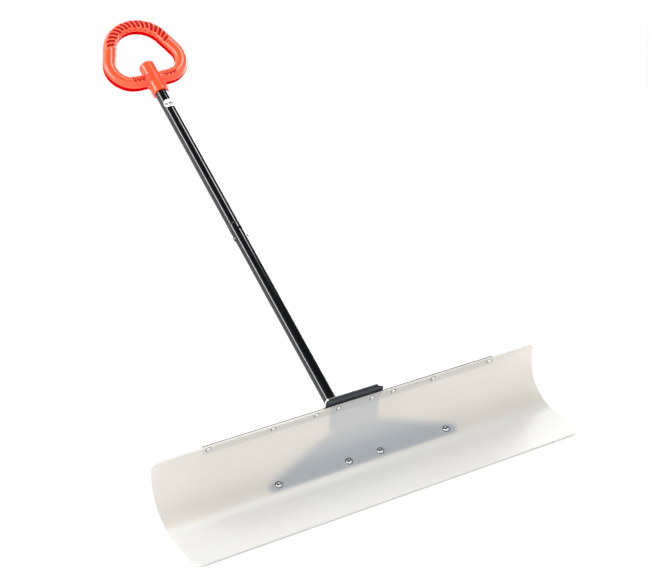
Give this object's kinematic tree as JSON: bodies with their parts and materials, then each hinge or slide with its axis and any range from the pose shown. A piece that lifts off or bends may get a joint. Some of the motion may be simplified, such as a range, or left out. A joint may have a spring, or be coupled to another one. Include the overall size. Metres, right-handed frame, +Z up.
{
  "type": "snow shovel",
  "caption": "Wide curled plastic snow pusher blade on a bent steel bracket, with a two-piece tube handle locked by sprung buttons and a loop grip.",
  "frame": {"origin": "middle of the scraping edge, on the ground line", "axes": "+X along the blade's width, +Y back towards the user, +Z up; the blade faces -Y and the handle rises towards +Y"},
  "size_m": [0.914, 0.9615, 0.959],
  "materials": {
    "sheet_plastic": "milky translucent plastic sheet, satin",
    "strip_metal": "plain flat bar",
    "rivet_metal": "domed rivets, bright",
    "black_steel": "blue-black powder coat, satin",
    "tube_black": "black gloss paint",
    "bolt_steel": "polished carriage bolt heads",
    "zinc_steel": "zinc plated",
    "button_steel": "plated, smooth",
    "spring_steel": "plain spring strip",
    "black_plastic": "moulded",
    "label_film": "white film with plain grey marks",
    "orange_plastic": "orange-red moulding, satin"
  },
  "bodies": {
    "shovel": {"blade": "sheet_plastic", "top_strip": "strip_metal", "strip_rivet_1": "rivet_metal", "strip_rivet_2": "rivet_metal", "strip_rivet_3": "rivet_metal", "strip_rivet_4": "rivet_metal", "strip_rivet_5": "rivet_metal", "strip_rivet_6": "rivet_metal", "strip_rivet_7": "rivet_metal", "strip_rivet_8": "rivet_metal", "bracket": "black_steel", "handle_socket": "black_steel", "blade_bolt_1": "bolt_steel", "blade_bolt_2": "bolt_steel", "blade_bolt_3": "bolt_steel", "blade_bolt_4": "bolt_steel", "blade_washer_1": "zinc_steel", "blade_washer_2": "zinc_steel", "blade_washer_3": "zinc_steel", "blade_washer_4": "zinc_steel", "blade_nut_1": "zinc_steel", "blade_nut_2": "zinc_steel", "blade_nut_3": "zinc_steel", "blade_nut_4": "zinc_steel", "socket_bolt": "zinc_steel", "socket_washer": "zinc_steel", "socket_nut": "zinc_steel", "tube_plug": "black_plastic", "lower_tube": "tube_black", "upper_tube": "tube_black", "button_clip": "spring_steel", "label": "label_film", "grip": "orange_plastic", "grip_screw": "zinc_steel"},
    "button_left": {"lock_button_left": "button_steel"},
    "button_right": {"lock_button_right": "button_steel"}
  },
  "joints": [
    {"name": "press_left_button", "type": "slide", "parent": "shovel", "child": "button_left", "axis": [0.9976, -0.051, 0.0476], "range_m": [0, 0.0049], "stiffness_N_per_m": 600, "deforming": ["button_clip"]},
    {"name": "press_right_button", "type": "slide", "parent": "shovel", "child": "button_right", "axis": [-0.9976, 0.051, -0.0476], "range_m": [0, 0.0049], "stiffness_N_per_m": 600, "deforming": ["button_clip"]}
  ]
}
